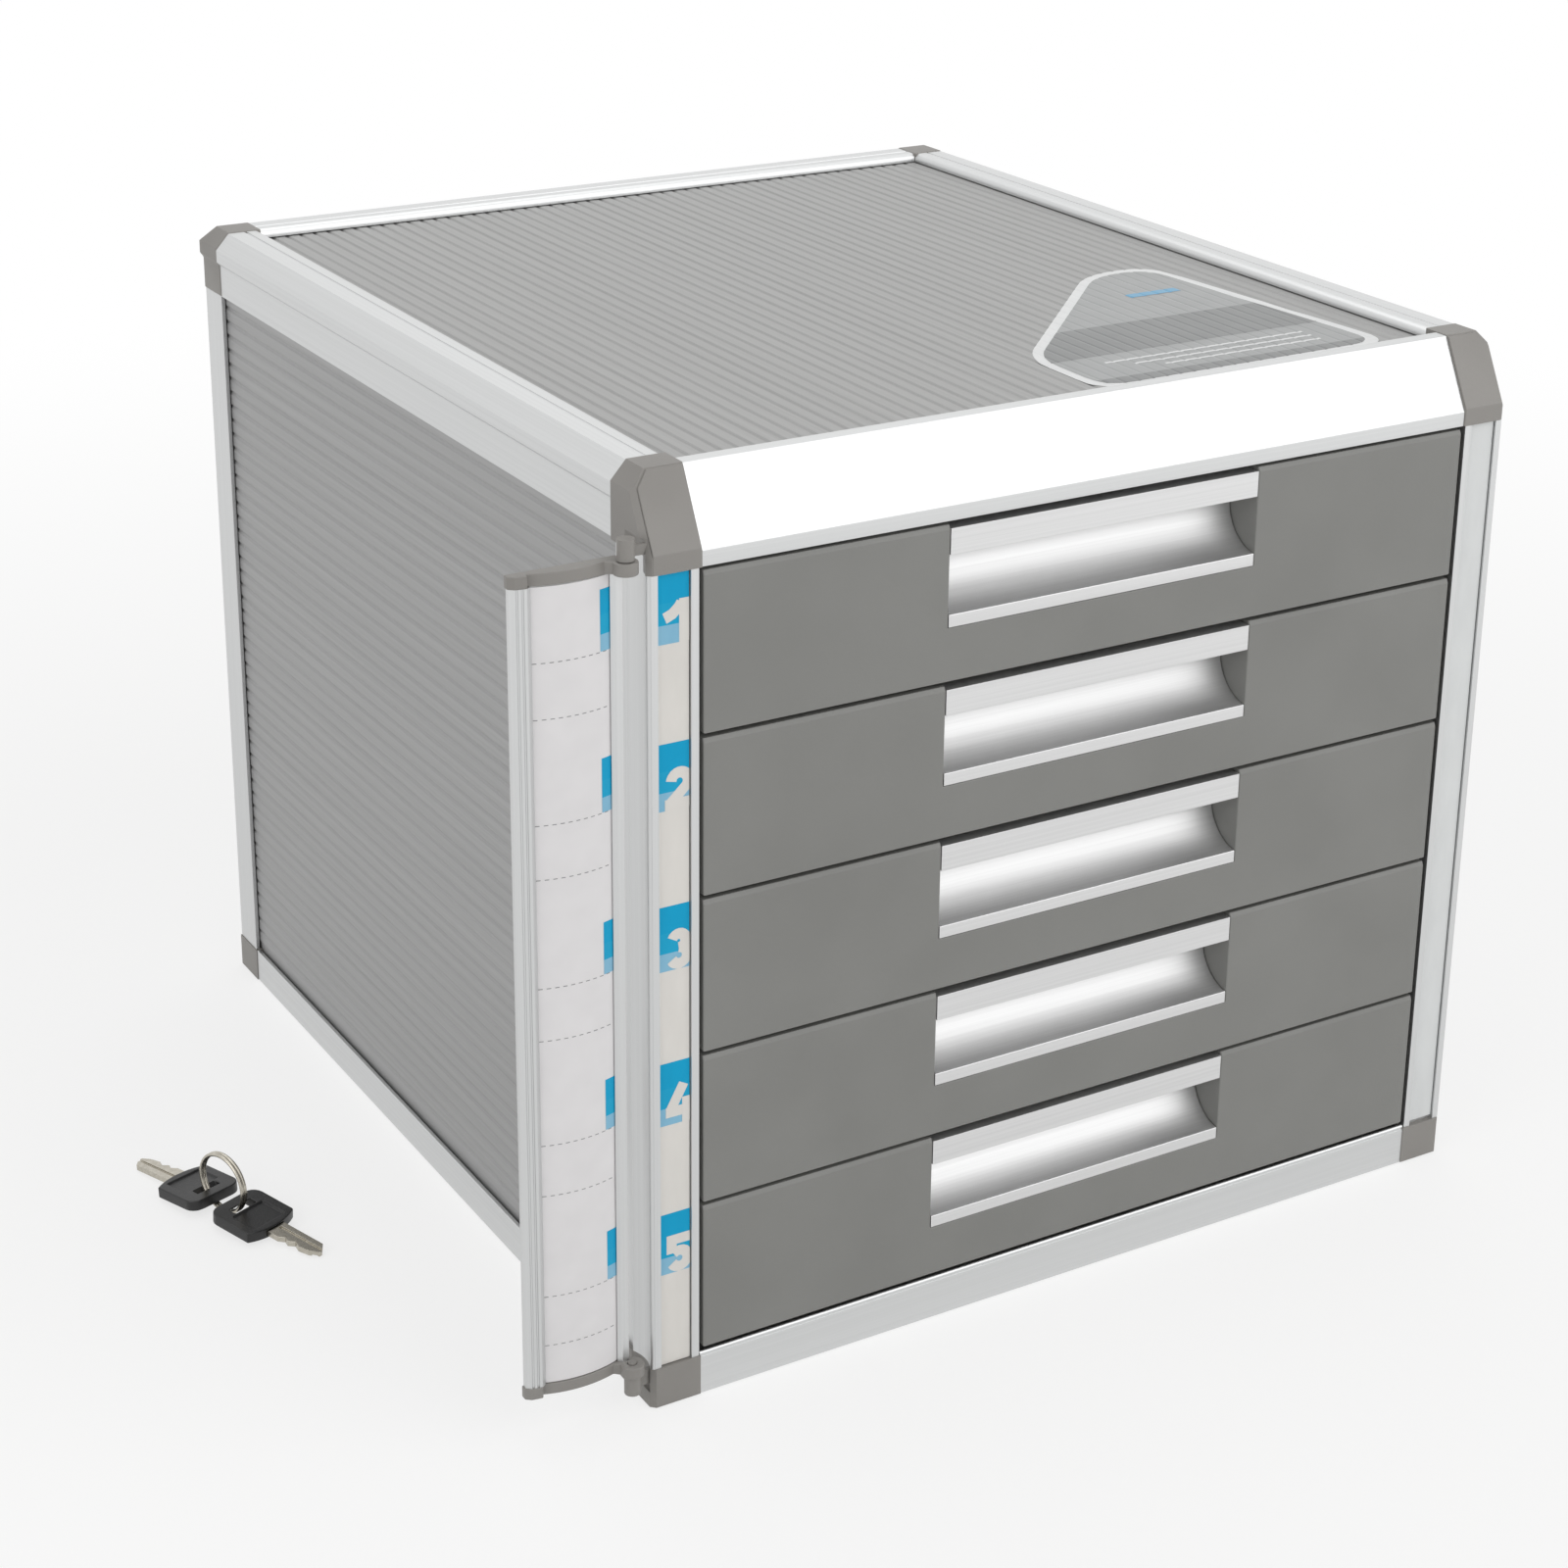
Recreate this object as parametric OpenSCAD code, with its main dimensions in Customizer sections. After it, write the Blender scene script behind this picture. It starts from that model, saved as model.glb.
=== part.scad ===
// A desk cabinet with five drawers: an aluminium frame of rails and posts, moulded corner
// pieces, ribbed panels, a hinged index flap at the left and a side lock at the right.
// The origin is the middle of the base. Z is up and the front faces -Y.

/* [Cabinet] */
// Width across the outer faces of the posts
cab_w = 300; // [290:1:340]
// Depth from the front face of the posts to the rear face
cab_d = 330; // [326:1:380]
// Height of the bottom front rail with its bead
sill_h = 13.9; // [13:0.1:18]
// Gap between that bead and the lowest drawer front
sill_gap = 1.6; // [1:0.1:4]
// Gap between the top drawer front and the top front rail
header_gap = 1.1; // [0.6:0.1:3]
// Clearance of pieces that are slid into each other
fit = 0.3; // [0.2:0.05:0.35]

/* [Top rails] */
// Wall of the extruded rails and posts
wall = 1.5; // [1.2:0.05:1.6]
// Height of the front rail
header_h = 26.3; // [25:0.1:32]
// Height of the upright lip below the front rail's slope
header_lip = 4.7; // [3.5:0.1:6]
// Run of the front rail's slope
slope_run = 11; // [9:0.1:12]
// Depth of the front rail
header_d = 15.9; // [15.5:0.1:18]
// Height of the side and rear rails
crown_drop = 21.8; // [20.5:0.1:24]
// Width of the side and rear rails
rail_w = 15.4; // [15:0.1:18]
// How far the side and rear rails stand out past the posts
crown_lip = 1.2; // [0.8:0.1:1.6]
// Height below the top where that lip ends
crown_step = 9.5; // [9:0.1:11]
// Width of the slanting edge of the side and rear rails
edge_run = 4.8; // [4:0.1:5.2]
// Height of that slanting edge
edge_rise = 5.4; // [4.8:0.1:6]
// Radius of the bead beside the top panel
bead_r = 2.4; // [1.8:0.1:2.8]
// Metal above the top panel's edge
panel_cover = 3; // [2.9:0.1:3.4]

/* [Panels] */
// Thickness of the ribbed boards
board = 2.7; // [2.3:0.1:2.8]
// Distance between two ribs
rib_pitch = 5.1; // [4:0.1:8]
// Height of a rib
rib_h = 0.5; // [0.3:0.05:0.8]
// Depth that a board goes into its groove
board_seat = 6; // [4:0.1:7]
// Thickness of the bottom sheet
floor_t = 1.2; // [0.8:0.1:2]
// Height of the ledge that carries the bottom sheet
floor_z = 3; // [2:0.1:4]

/* [Posts and bottom rails] */
// Width of a post, from its outer face inwards
post_w = 14.7; // [14.4:0.1:15]
// Depth of a front post
post_d = 20; // [19.5:0.1:24]
// Height of the bottom side and rear rails
base_h = 12; // [11.8:0.1:12.8]
// Depth of the recess for the number strip
strip_recess = 1.6; // [1.2:0.1:1.8]
// Width of the number strip
strip_w = 9.6; // [8:0.1:9.8]
// Thickness of the number strip
strip_t = 0.7; // [0.4:0.1:0.9]
// Radius of the scoop in the outer side of a front post
scoop_r = 11.9; // [10:0.1:14]
// Depth of that scoop
scoop_depth = 1.3; // [0.8:0.1:1.6]

/* [Corner pieces] */
// Length of a front corner piece along the side
cap_l = 20.5; // [20.1:0.1:24]
// Width of a front corner piece along the front
cap_w = 15.5; // [15.2:0.1:18]
// How far a rear corner piece reaches past the rails beside it
rear_over = 0.1; // [0.1:0.1:1]
// How far a corner piece stands proud of the rails
cap_proud = 0.3; // [0.1:0.1:0.5]
// Bevel on the outer edge of a front corner piece
cap_bevel = 1.5; // [0.8:0.1:2]
// Thickness of the front corner piece's lip over the post
cap_lip = 4; // [3.6:0.1:5]
// Height of the bottom corner blocks at the front
block_h = 13; // [12.9:0.1:14]
// Length of the tongues in the rails and posts
tongue_l = 12; // [8:0.5:16]
// Diameter of the screws through the bottom blocks
screw_d = 3.5; // [3:0.1:4]

/* [Drawer fronts] */
// Height of one drawer front
front_h = 47.3; // [46.5:0.1:60]
// Gap between two drawer fronts
front_gap = 1.5; // [1:0.1:4]
// Gap between a drawer front's end and the post
front_side_gap = 1.4; // [0.8:0.1:2.5]
// Thickness of a drawer front's face
front_t = 2.5; // [1.8:0.1:3.2]
// Depth of a drawer front with its rim
front_rim = 12; // [8:0.5:15]
// Thickness of that rim and of the walls beside the handle
rim_wall = 2; // [1.4:0.1:2.4]
// Height of the bevel along the top edge
front_bevel = 1.3; // [0.8:0.1:2]

/* [Handles] */
// Length of a pull handle
handle_l = 109.2; // [80:1:150]
// Distance of the handle below the drawer front's top edge
handle_drop = 1.1; // [0.5:0.1:2]
// Height of the lip above the finger recess
lip_h = 8; // [6:0.1:9]
// Height of the finger recess
recess_h = 17.9; // [17:0.1:19]
// Height of the foot below the finger recess
foot_h = 3.9; // [2:0.1:4.5]
// Depth of the finger recess
recess_d = 12.8; // [11:0.1:13.5]
// Wall of the handle
handle_wall = 1.4; // [1:0.1:1.6]

/* [Drawer trays] */
// Length of a tray
tray_l = 308.5; // [302:0.5:312]
// Height of a tray
tray_h = 38; // [34:0.5:38.5]
// Wall of a tray
tray_wall = 1.6; // [1.2:0.1:2]
// Distance of the tray's rim below the drawer front's top edge
rim_drop = 6; // [5:0.1:7]
// Thickness of the tray's sliding rim
rim_t = 2; // [1.6:0.1:2.4]
// Length of a tray that stays in the cabinet when its drawer is open
tray_kept = 58.5; // [50:0.5:90]

/* [Runners] */
// Distance of the runner panel's inner side from the post's outer face
runner_inset = 21.5; // [20.5:0.1:24]
// Thickness of the runner panel
runner_t = 2; // [1.5:0.1:2.4]
// How far the ledges reach towards the tray
ledge_w = 3.9; // [3:0.1:5]
// Thickness of a ledge
ledge_t = 2.2; // [1.6:0.1:2.6]
// Side gap between the tray and the ledges
tray_gap = 0.6; // [0.4:0.1:1]
// Length of the stops at the rear of a tray
stop_l = 4; // [3:0.5:6]

/* [Lock] */
// Distance of the lock behind the front face
lock_y = 34; // [33:0.5:40]
// Distance of the lock below the top drawer front's top edge
lock_drop = 18; // [17:0.5:26]
// Diameter of the lock's barrel
barrel_d = 16; // [14:0.5:17]
// Diameter of the turning plug
plug_d = 10; // [8:0.5:11]
// Radius at which the cam's pin turns
cam_r = 6; // [5:0.1:6.5]
// Diameter of the cam's pin
cam_pin = 3; // [2:0.1:3.4]
// Width of the locking bar
bar_w = 7; // [6:0.5:7]
// Thickness of the locking bar
bar_t = 2; // [1.5:0.1:2.2]

/* [Index flap] */
// Distance of the hinge axis outside the post
hinge_out = 7.2; // [6.8:0.1:9]
// Distance of the hinge axis behind the front face
hinge_back = 0.5; // [0.3:0.1:0.8]
// Diameter of the hinge pins
pin_d = 2.5; // [2:0.1:2.6]
// Running clearance of a hinge pin all round
pin_gap = 0.05; // [0.03:0.01:0.09]
// Diameter of the hinge bosses
boss_d = 4.9; // [4:0.1:5.4]
// Height of the hinge bosses above the flap's arms
boss_h = 6; // [5:0.1:9]
// Width of the label card
card_w = 25.1; // [20:0.1:30]
// Thickness of the label card
card_t = 0.3; // [0.2:0.05:0.5]
// Height of the flap's crown
flap_sag = 2.3; // [1.5:0.1:3]
// Thickness of the flap's plate
flap_t = 1.3; // [1:0.1:1.6]
// Width of the outer lip of the flap
flap_lip = 5.3; // [4:0.1:7]
// Thickness of the moulded arms above and below the flap
arm_t = 3.6; // [3:0.1:4.5]

/* [Keys] */
// Length of a key's head
head_l = 21; // [18:0.5:24]
// Width of a key's head
head_w = 20; // [17:0.5:24]
// Thickness of a key's head
head_t = 3.6; // [3:0.1:4.5]
// Reach of the blade's tip from the middle of the head
blade_reach = 30.5; // [26:0.5:36]
// Width of a key's blade
blade_w = 7; // [6:0.1:8.5]
// Thickness of a key's blade
blade_t = 1.9; // [1.5:0.1:2.4]
// Diameter of the key ring along its wire
ring_d = 20; // [18:0.5:26]
// Diameter of the key ring's wire
wire_d = 1.3; // [1:0.1:1.6]

/* [Hidden] */
$fn = 64;
drawers = 5;

// Main heights and half sizes
half_w = cab_w / 2;
half_d = cab_d / 2;
pitch = front_h + front_gap;
first_z = sill_h + sill_gap;
header_z = first_z + drawers * pitch - front_gap + header_gap;
top_z = header_z + header_h;
crown_z = top_z - crown_drop;
function front_top(i) = header_z - header_gap - (i - 1) * pitch;

// Grooves and hollows of the rails
groove = board + 2 * fit;
groove_end = wall + groove;
hollow_x = groove_end + wall;
shelf_top = -panel_cover - groove;
shelf_low = shelf_top - wall;

// Front rail's slope: a line moved inwards by w, as depth at a height and the other way
slope_rise = header_h - header_lip;
slope_len = sqrt(slope_run * slope_run + slope_rise * slope_rise);
function slope_depth(w, h) =
    w * slope_rise / slope_len
    + (h + slope_rise + w * slope_run / slope_len) * slope_run / slope_rise;
function slope_height(w, d) =
    -slope_rise - w * slope_run / slope_len
    + (d - w * slope_rise / slope_len) * slope_rise / slope_run;

// Slanting edge of the side rails, moved inwards by the wall
edge_len = sqrt(edge_run * edge_run + edge_rise * edge_rise);
function edge_inner(h) =
    -crown_lip + wall * edge_rise / edge_len
    + (h + edge_rise + wall * edge_run / edge_len) * edge_run / edge_rise;

// Front posts and the scoop in their outer side
nose_r = 1.45;
nose_out = 0.9;
scoop_mid = [scoop_depth - nose_out - scoop_r - 0.1, 6.6];
scoop_top = top_z - 16.5;
scoop_floor = 5;
strip_x = 7.2;
strip_side = strip_w + 0.5;

// Rear corners and bottom pieces
rear_cap = rail_w + rear_over;
rear_block = rear_cap;
sill_box = sill_h - 1.5;
ledge_reach = 3;
floor_top = floor_z + wall + floor_t;
block_w = post_w + 0.4;
block_l = post_d + 0.2;
front_screw = [hollow_x + 3.4, 11];
rear_screw = [wall + 2.85, wall + 2.85];
screw_head = 4 * screw_d / 7;
screw_end = block_h + 2 * tongue_l / 3;
side_board_z0 = base_h - board_seat + 1 + fit;
side_board_z1 = crown_z + board_seat + 2;

// Drawers
front_half = half_w - post_w - front_side_gap;
notch_half = handle_l / 2 + 0.2;
notch_h = handle_drop + lip_h + recess_h + foot_h + 0.1;
pocket_d = recess_d + handle_wall + 1.3;
runner_x = half_w - runner_inset;
tray_half = runner_x - ledge_w - tray_gap;
rim_half = runner_x - tray_gap;
tray_end = front_t + tray_l;
runner_y0 = post_d;
runner_y1 = cab_d - post_w;
ledge_y0 = runner_y0 + 1;
ledge_y1 = runner_y1 - 6;
rim_low = rim_drop + rim_t;
ledge_low = rim_low + fit + ledge_t;
lug_top = ledge_low + fit;
lug_h = 3.7;
lug_w = 2;
rivet_d = 2;
stop_y = tray_end - 3 * stop_l;
travel = tray_l - tray_kept;

// Lock
lock_z = front_top(1) - lock_drop;
bar_gap = 1.3;
bar_x0 = runner_x + runner_t + bar_gap;
bar_x1 = bar_x0 + bar_t;
cam_x0 = bar_x1 + 1.4;
cam_t = 1.8;
plug_end = cam_x0 + cam_t;
barrel_end = plug_end + 0.5;
board_out = half_w - wall - fit;
board_in = board_out - board;
flange_t = 1.6;
pin_drop = cam_r * sin(45);
pin_y = lock_y + cam_r * cos(45);
pin_z = lock_z - pin_drop;
bar_stroke = 2 * pin_drop;
bar_y = pin_y - (cam_pin + bar_w) / 2 - fit;
lift_z = pin_z + cam_pin / 2 + fit;
tab_w = 4.6;
tab_h = 5;
tab_x0 = rim_half - 1.4;
catch_t = 3;
catch_h = 6;
catch_y = bar_y + tab_w / 2 + 0.7;
catch_drop = 23;
tab_rest = catch_drop + bar_stroke;

// Index flap, seen along the hinge: x away from the cabinet, y backwards
hinge_x = -half_w - hinge_out;
hinge_y = -half_d + hinge_back;
arm_r = 3.5;
rib_w = 2.1;
flap_front = 1.3;
flap_back = 5.3;
card_x0 = 2.4;
flap_mid = card_x0 + card_w / 2;
lip_x0 = card_x0 + card_w;
flap_end = lip_x0 + flap_lip - 0.3;
flap_r = (card_w * card_w / 4 + flap_sag * flap_sag) / (2 * flap_sag);
flap_c = [flap_mid, flap_front + flap_r];
flap_z0 = block_h + arm_t + 0.9;
flap_z1 = header_z + 1.9;
boss_gap = 0.3;

// Keys on the floor beside the cabinet
ring_at = [-220.3, 0.2];
key_turn = [108, -68];
key_tilt = 4.2;
key_mid_z = 3.3;
key_apart = 13.6;
slot_x = -6.4;
slot_lean = 45;

// ---- Helpers ----

// A profile drawn as (depth, height) runs along X
module run_x(x0, x1) {
    translate([x0, 0, 0]) rotate([90, 0, 90]) linear_extrude(x1 - x0) children();
}

// A profile drawn as (across, height) runs along Y
module run_y(y0, y1) {
    translate([0, y1, 0]) rotate([90, 0, 0]) linear_extrude(y1 - y0) children();
}

// Local axes at a corner: x inwards from the side, y inwards from the front or rear face
module at_corner(side, end) {
    translate([side * half_w, end * half_d, 0])
        mirror([side > 0 ? 1 : 0, 0, 0])
            mirror([0, end > 0 ? 1 : 0, 0])
                children();
}

// Points of an arc
function arc(c, r, a0, a1, n = 12) =
    [for (k = [0:n]) c + r * [cos(a0 + (a1 - a0) * k / n), sin(a0 + (a1 - a0) * k / n)]];

// Outline of a ribbed board: flat back at 0, ribs on the other side, plain edges
function board_outline(len) =
    let (n = floor((len - 2 * board_seat) / rib_pitch), x0 = (len - n * rib_pitch) / 2)
    concat(
        [[0, 0], [len, 0], [len, board - rib_h]],
        [for (k = [n - 1:-1:0], s = [[0.95, rib_h], [0.82, 0], [0.18, 0], [0.05, rib_h]])
            [x0 + (k + s[0]) * rib_pitch, board - s[1]]],
        [[0, board - rib_h]]);

// ---- Top rails ----

// Closed hollow of the side rails, its walls w thick
module crown_hollow(w) {
    translate([hollow_x + w - wall, w - crown_drop])
        square([rail_w - hollow_x - 2 * w + wall, crown_drop + shelf_low - 2 * w + wall]);
}

// Side and rear rails, seen along their length, with the top at height 0
module crown_profile() {
    difference() {
        polygon(concat(
            [[0, -crown_drop], [0, -crown_step - 1.3], [-crown_lip, -crown_step],
             [-crown_lip, -edge_rise], [edge_run - crown_lip, 0]],
            arc([rail_w - bead_r, -bead_r], bead_r, 90, 0, 8),
            [[rail_w, -crown_drop]]));
        // Line between the flat top and the bead
        translate([rail_w - 5.6, 0]) circle(r = 0.5, $fn = 24);
        // Groove of the top panel, open into the crown
        polygon([
            [rail_w + 1, -panel_cover], [rail_w - 5, -panel_cover], [rail_w - 5, -wall],
            [edge_inner(-wall), -wall], [edge_inner(shelf_top), shelf_top],
            [rail_w + 1, shelf_top]]);
        // Groove of the side panel
        translate([wall, -crown_drop - 1]) square([groove, crown_drop + 1 + shelf_low]);
        crown_hollow(wall);
    }
}

// Closed hollow of the front rail, its walls w thick
module header_hollow(w) {
    top = shelf_low - w + wall;
    polygon([
        [w, w - header_h], [header_d - w, w - header_h], [header_d - w, top],
        [slope_depth(w, top), top], [w, slope_height(w, w)]]);
}

// Front rail, seen from its left end, with the top at height 0
module header_profile() {
    difference() {
        polygon([
            [0, -header_h], [0, -slope_rise], [slope_run, 0], [header_d, 0],
            [header_d, -header_h]]);
        polygon([
            [header_d + 1, -panel_cover], [slope_depth(wall, -panel_cover), -panel_cover],
            [slope_depth(wall, shelf_top), shelf_top], [header_d + 1, shelf_top]]);
        header_hollow(wall);
    }
}

module top_front_rail() {
    color("gainsboro")
        translate([0, -half_d, top_z]) run_x(cap_w - half_w, half_w - cap_w) header_profile();
}

module top_side_rail(side) {
    color("lightgray")
        at_corner(side, -1)
            translate([0, 0, top_z]) run_y(cap_l, cab_d - rear_cap) crown_profile();
}

module top_rear_rail() {
    color("lightgray")
        translate([0, half_d, top_z])
            mirror([0, 1, 0]) run_x(rear_cap - half_w, half_w - rear_cap) crown_profile();
}

// ---- Bottom rails ----

// Closed hollow of the bottom side rails, its walls w thick
module base_hollow(w) {
    translate([hollow_x + w - wall, w])
        square([rail_w - hollow_x - 2 * w + wall, base_h - 2 * w]);
}

// Bottom side and rear rails with the groove of the panel and a ledge for the floor
module base_profile() {
    difference() {
        union() {
            square([rail_w, base_h]);
            translate([rail_w - 1, floor_z]) square([ledge_reach + 1, wall]);
        }
        translate([wall, base_h - board_seat + 1]) square([groove, board_seat]);
        translate([wall, wall]) square([groove, base_h - board_seat - 2 * wall + 1]);
        base_hollow(wall);
    }
}

// Closed hollow of the bottom front rail, its walls w thick
module sill_hollow(w) {
    translate([w, w]) square([rail_w - 2 * w, sill_box - 2 * w]);
}

// Bottom front rail with its bead and a ledge for the floor
module sill_profile() {
    difference() {
        union() {
            square([rail_w, sill_box]);
            translate([rail_w - 1, floor_z]) square([ledge_reach + 1, wall]);
            translate([0.2, sill_box - 1]) square([1.5, 1.75]);
            translate([0.95, sill_h - 0.75]) circle(r = 0.75);
        }
        sill_hollow(wall);
    }
}

module bottom_front_rail() {
    color("gainsboro")
        translate([0, -half_d, 0]) run_x(block_w - half_w, half_w - block_w) sill_profile();
}

module bottom_side_rail(side) {
    color("lightgray")
        at_corner(side, -1) run_y(block_l, cab_d - rear_block) base_profile();
}

module bottom_rear_rail() {
    color("lightgray")
        translate([0, half_d, 0])
            mirror([0, 1, 0])
                difference() {
                    run_x(rear_block - half_w, half_w - rear_block) base_profile();
                    // The ledge stops short of the side rails' ledges
                    for (s = [-1, 1])
                        translate([s * (half_w - rail_w), rail_w + 5, 0])
                            cube([2 * ledge_reach + 0.6, 10, 2 * base_h], center = true);
                }
}

// ---- Posts ----

// Hollow of a front post behind its strip recess, drawn c smaller all round
module front_post_hollow(c) {
    x0 = 2 + c;
    x1 = post_w - wall - c;
    y0 = strip_recess + wall + c;
    y1 = post_d - wall - c;
    y_web = post_d - board_seat - wall - c;
    polygon([
        [x0, y0], [x1, y0], [x1, y1], [hollow_x + c, y1], [hollow_x + c, y_web], [x0, y_web]]);
}

// Scoop along the outer side of the front corner
module scoop(z0, z1) {
    translate([scoop_mid[0], scoop_mid[1], z0]) cylinder(r = scoop_r, h = z1 - z0, $fn = 96);
}

module front_post_section() {
    difference() {
        union() {
            square([post_w, post_d]);
            translate([-nose_out, nose_r]) square([4, 2 * (scoop_mid[1] - nose_r)]);
            translate([nose_r - nose_out, nose_r]) circle(r = nose_r);
            translate([nose_r - nose_out, 2 * scoop_mid[1] - nose_r]) circle(r = nose_r);
        }
        translate([strip_x - strip_side / 2, -1]) square([strip_side, strip_recess + 1]);
        translate(scoop_mid) circle(r = scoop_r, $fn = 96);
        translate([wall, post_d - board_seat]) square([groove, board_seat + 1]);
        front_post_hollow(0);
    }
}

module front_post(side) {
    color("silver")
        at_corner(side, -1)
            difference() {
                translate([0, 0, block_h]) linear_extrude(crown_z - block_h)
                    front_post_section();
                translate([-cap_lip, -cap_lip, header_z])
                    cube([post_w + 2 * cap_lip, 2 * cap_lip + fit, header_h]);
            }
}

// Square hollow in the outer corner of a rear post, drawn c smaller all round
module rear_post_hollow(c) {
    s = post_w - board_seat - 2 * wall;
    translate([wall + c, wall + c]) square([s - 2 * c, s - 2 * c]);
}

module rear_post_section() {
    inner = post_w - board_seat;
    difference() {
        square([post_w, post_w]);
        translate([wall, inner]) square([groove, board_seat + 1]);
        translate([inner, wall]) square([board_seat + 1, groove]);
        translate([inner, inner]) square([post_w - inner - wall, post_w - inner - wall]);
        rear_post_hollow(0);
    }
}

module rear_post(side) {
    color("silver")
        at_corner(side, 1)
            translate([0, 0, base_h]) linear_extrude(crown_z - base_h) rear_post_section();
}

module strip(side, z0) {
    at_corner(side, -1)
        translate([strip_x - strip_w / 2, strip_recess - strip_t - 0.1, z0])
            cube([strip_w, strip_t, header_z - 0.4 - z0]);
}

module number_strip() { color("ivory") strip(-1, block_h + 0.3); }

module plain_strip() { color("whitesmoke") strip(1, block_h + 1.3); }

// ---- Corner pieces ----

// Wedge that takes the bevel off an outer edge standing along Z
module edge_wedge(h) {
    linear_extrude(h)
        polygon([[-1, -1], [cap_bevel + 1, -1], [-1, cap_bevel + 1]]);
}

// Boss beside the corner piece with the pin of the flap's hinge; up is 1 or -1
module hinge_boss(z, up) {
    x = -hinge_out;
    z0 = min(z, z + up * boss_h);
    pin_z = z - up * (boss_gap + arm_t - 0.6);
    translate([x, hinge_back, z0]) cylinder(d = boss_d, h = boss_h);
    translate([x, hinge_back, min(pin_z, z)]) cylinder(d = pin_d, h = abs(pin_z - z) + 1);
}

// Web behind a boss, which joins it to its corner piece
module boss_web(z0, z1) {
    translate([-hinge_out, hinge_back + boss_d / 2 - 1, z0])
        cube([hinge_out + nose_out + 1, 1.4, z1 - z0]);
}

// Front corner piece without tongues: the slope seen from the side, the rail from the front
module front_cap_body() {
    difference() {
        intersection() {
            translate([0, 0, top_z]) run_x(-crown_lip, cap_w)
                polygon([
                    [-cap_proud, -header_h], [-cap_proud, slope_height(-cap_proud, -cap_proud)],
                    [slope_depth(-cap_proud, cap_proud), cap_proud], [cap_l, cap_proud],
                    [cap_l, -crown_drop], [cap_lip, -crown_drop], [cap_lip, -header_h]]);
            translate([0, 0, top_z]) run_y(-cap_proud, cap_l)
                polygon([
                    [-crown_lip, -header_h], [-crown_lip, cap_proud - edge_rise],
                    [edge_run - crown_lip, cap_proud], [cap_w, cap_proud],
                    [cap_w, -header_h]]);
        }
        translate([-crown_lip, -cap_proud, header_z - 1]) edge_wedge(header_lip + 3);
        translate([-crown_lip, -cap_proud, top_z + slope_height(-cap_proud, -cap_proud)])
            rotate([-atan2(slope_run, slope_rise), 0, 0])
                translate([0, 0, -5]) edge_wedge(slope_len + 10);
        scoop(header_z - 1, scoop_top);
    }
}

module front_cap(side) {
    at_corner(side, -1) {
        front_cap_body();
        translate([0, 0, top_z]) {
            run_x(cap_w - 0.4, cap_w + tongue_l) header_hollow(wall + fit);
            run_y(cap_l - 1, cap_l + tongue_l) crown_hollow(wall + fit);
        }
        translate([0, 0, crown_z - tongue_l]) linear_extrude(tongue_l + 1)
            front_post_hollow(fit);
    }
}

module cap_front_left() {
    boss_z = flap_z1 + arm_t + boss_gap;
    color("darkgray") {
        front_cap(-1);
        at_corner(-1, -1) {
            hinge_boss(boss_z, 1);
            boss_web(boss_z, boss_z + boss_h / 2);
        }
    }
}

module cap_front_right() { color("darkgray") front_cap(1); }

module rear_cap_profile() {
    polygon([
        [-cap_proud, -crown_drop], [-cap_proud, -crown_step - 1.3],
        [-crown_lip, -crown_step], [-crown_lip, cap_proud - edge_rise],
        [edge_run - crown_lip, cap_proud], [rear_cap, cap_proud], [rear_cap, -crown_drop]]);
}

module rear_corner_cap(side) {
    color("darkgray")
        at_corner(side, 1) {
            translate([0, 0, top_z]) {
                intersection() {
                    run_x(-crown_lip, rear_cap) rear_cap_profile();
                    run_y(-crown_lip, rear_cap) rear_cap_profile();
                }
                run_y(rear_cap - 1, rear_cap + tongue_l) crown_hollow(wall + fit);
                run_x(rear_cap - 1, rear_cap + tongue_l) crown_hollow(wall + fit);
            }
            translate([0, 0, crown_z - tongue_l]) linear_extrude(tongue_l + 1)
                rear_post_hollow(fit);
        }
}

// Hole and head recess of a screw up through a bottom block
module screw_hole(x, y) {
    translate([x, y, -1]) cylinder(d = screw_d + 0.2, h = screw_end + 3);
    translate([x, y, -1]) cylinder(d = 2 * screw_d + 0.4, h = screw_head + 1.4);
}

module front_block(side) {
    at_corner(side, -1)
        difference() {
            union() {
                translate([-crown_lip, -cap_proud, 0])
                    cube([block_w + crown_lip, block_l + cap_proud, block_h]);
                run_x(block_w - 1, block_w + tongue_l) sill_hollow(wall + fit);
                run_y(block_l - 1, block_l + tongue_l) base_hollow(wall + fit);
                translate([0, 0, block_h - 1]) linear_extrude(tongue_l + 1)
                    front_post_hollow(fit);
            }
            translate([-crown_lip, -cap_proud, -1]) edge_wedge(block_h + 2);
            scoop(scoop_floor, block_h + 1);
            screw_hole(front_screw[0], front_screw[1]);
        }
}

module block_front_left() {
    boss_z = flap_z0 - arm_t - boss_gap;
    color("darkgray") {
        front_block(-1);
        at_corner(-1, -1) {
            hinge_boss(boss_z, -1);
            boss_web(boss_z - boss_h, block_h - 0.5);
        }
    }
}

module block_front_right() { color("darkgray") front_block(1); }

module rear_block(side) {
    color("darkgray")
        at_corner(side, 1)
            difference() {
                union() {
                    translate([-cap_proud, -cap_proud, 0])
                        cube([rear_block + cap_proud, rear_block + cap_proud, base_h]);
                    run_y(rear_block - 1, rear_block + tongue_l) base_hollow(wall + fit);
                    run_x(rear_block - 1, rear_block + tongue_l) base_hollow(wall + fit);
                    translate([0, 0, base_h - 1]) linear_extrude(tongue_l + 1)
                        rear_post_hollow(fit);
                }
                screw_hole(rear_screw[0], rear_screw[1]);
            }
}

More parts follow.
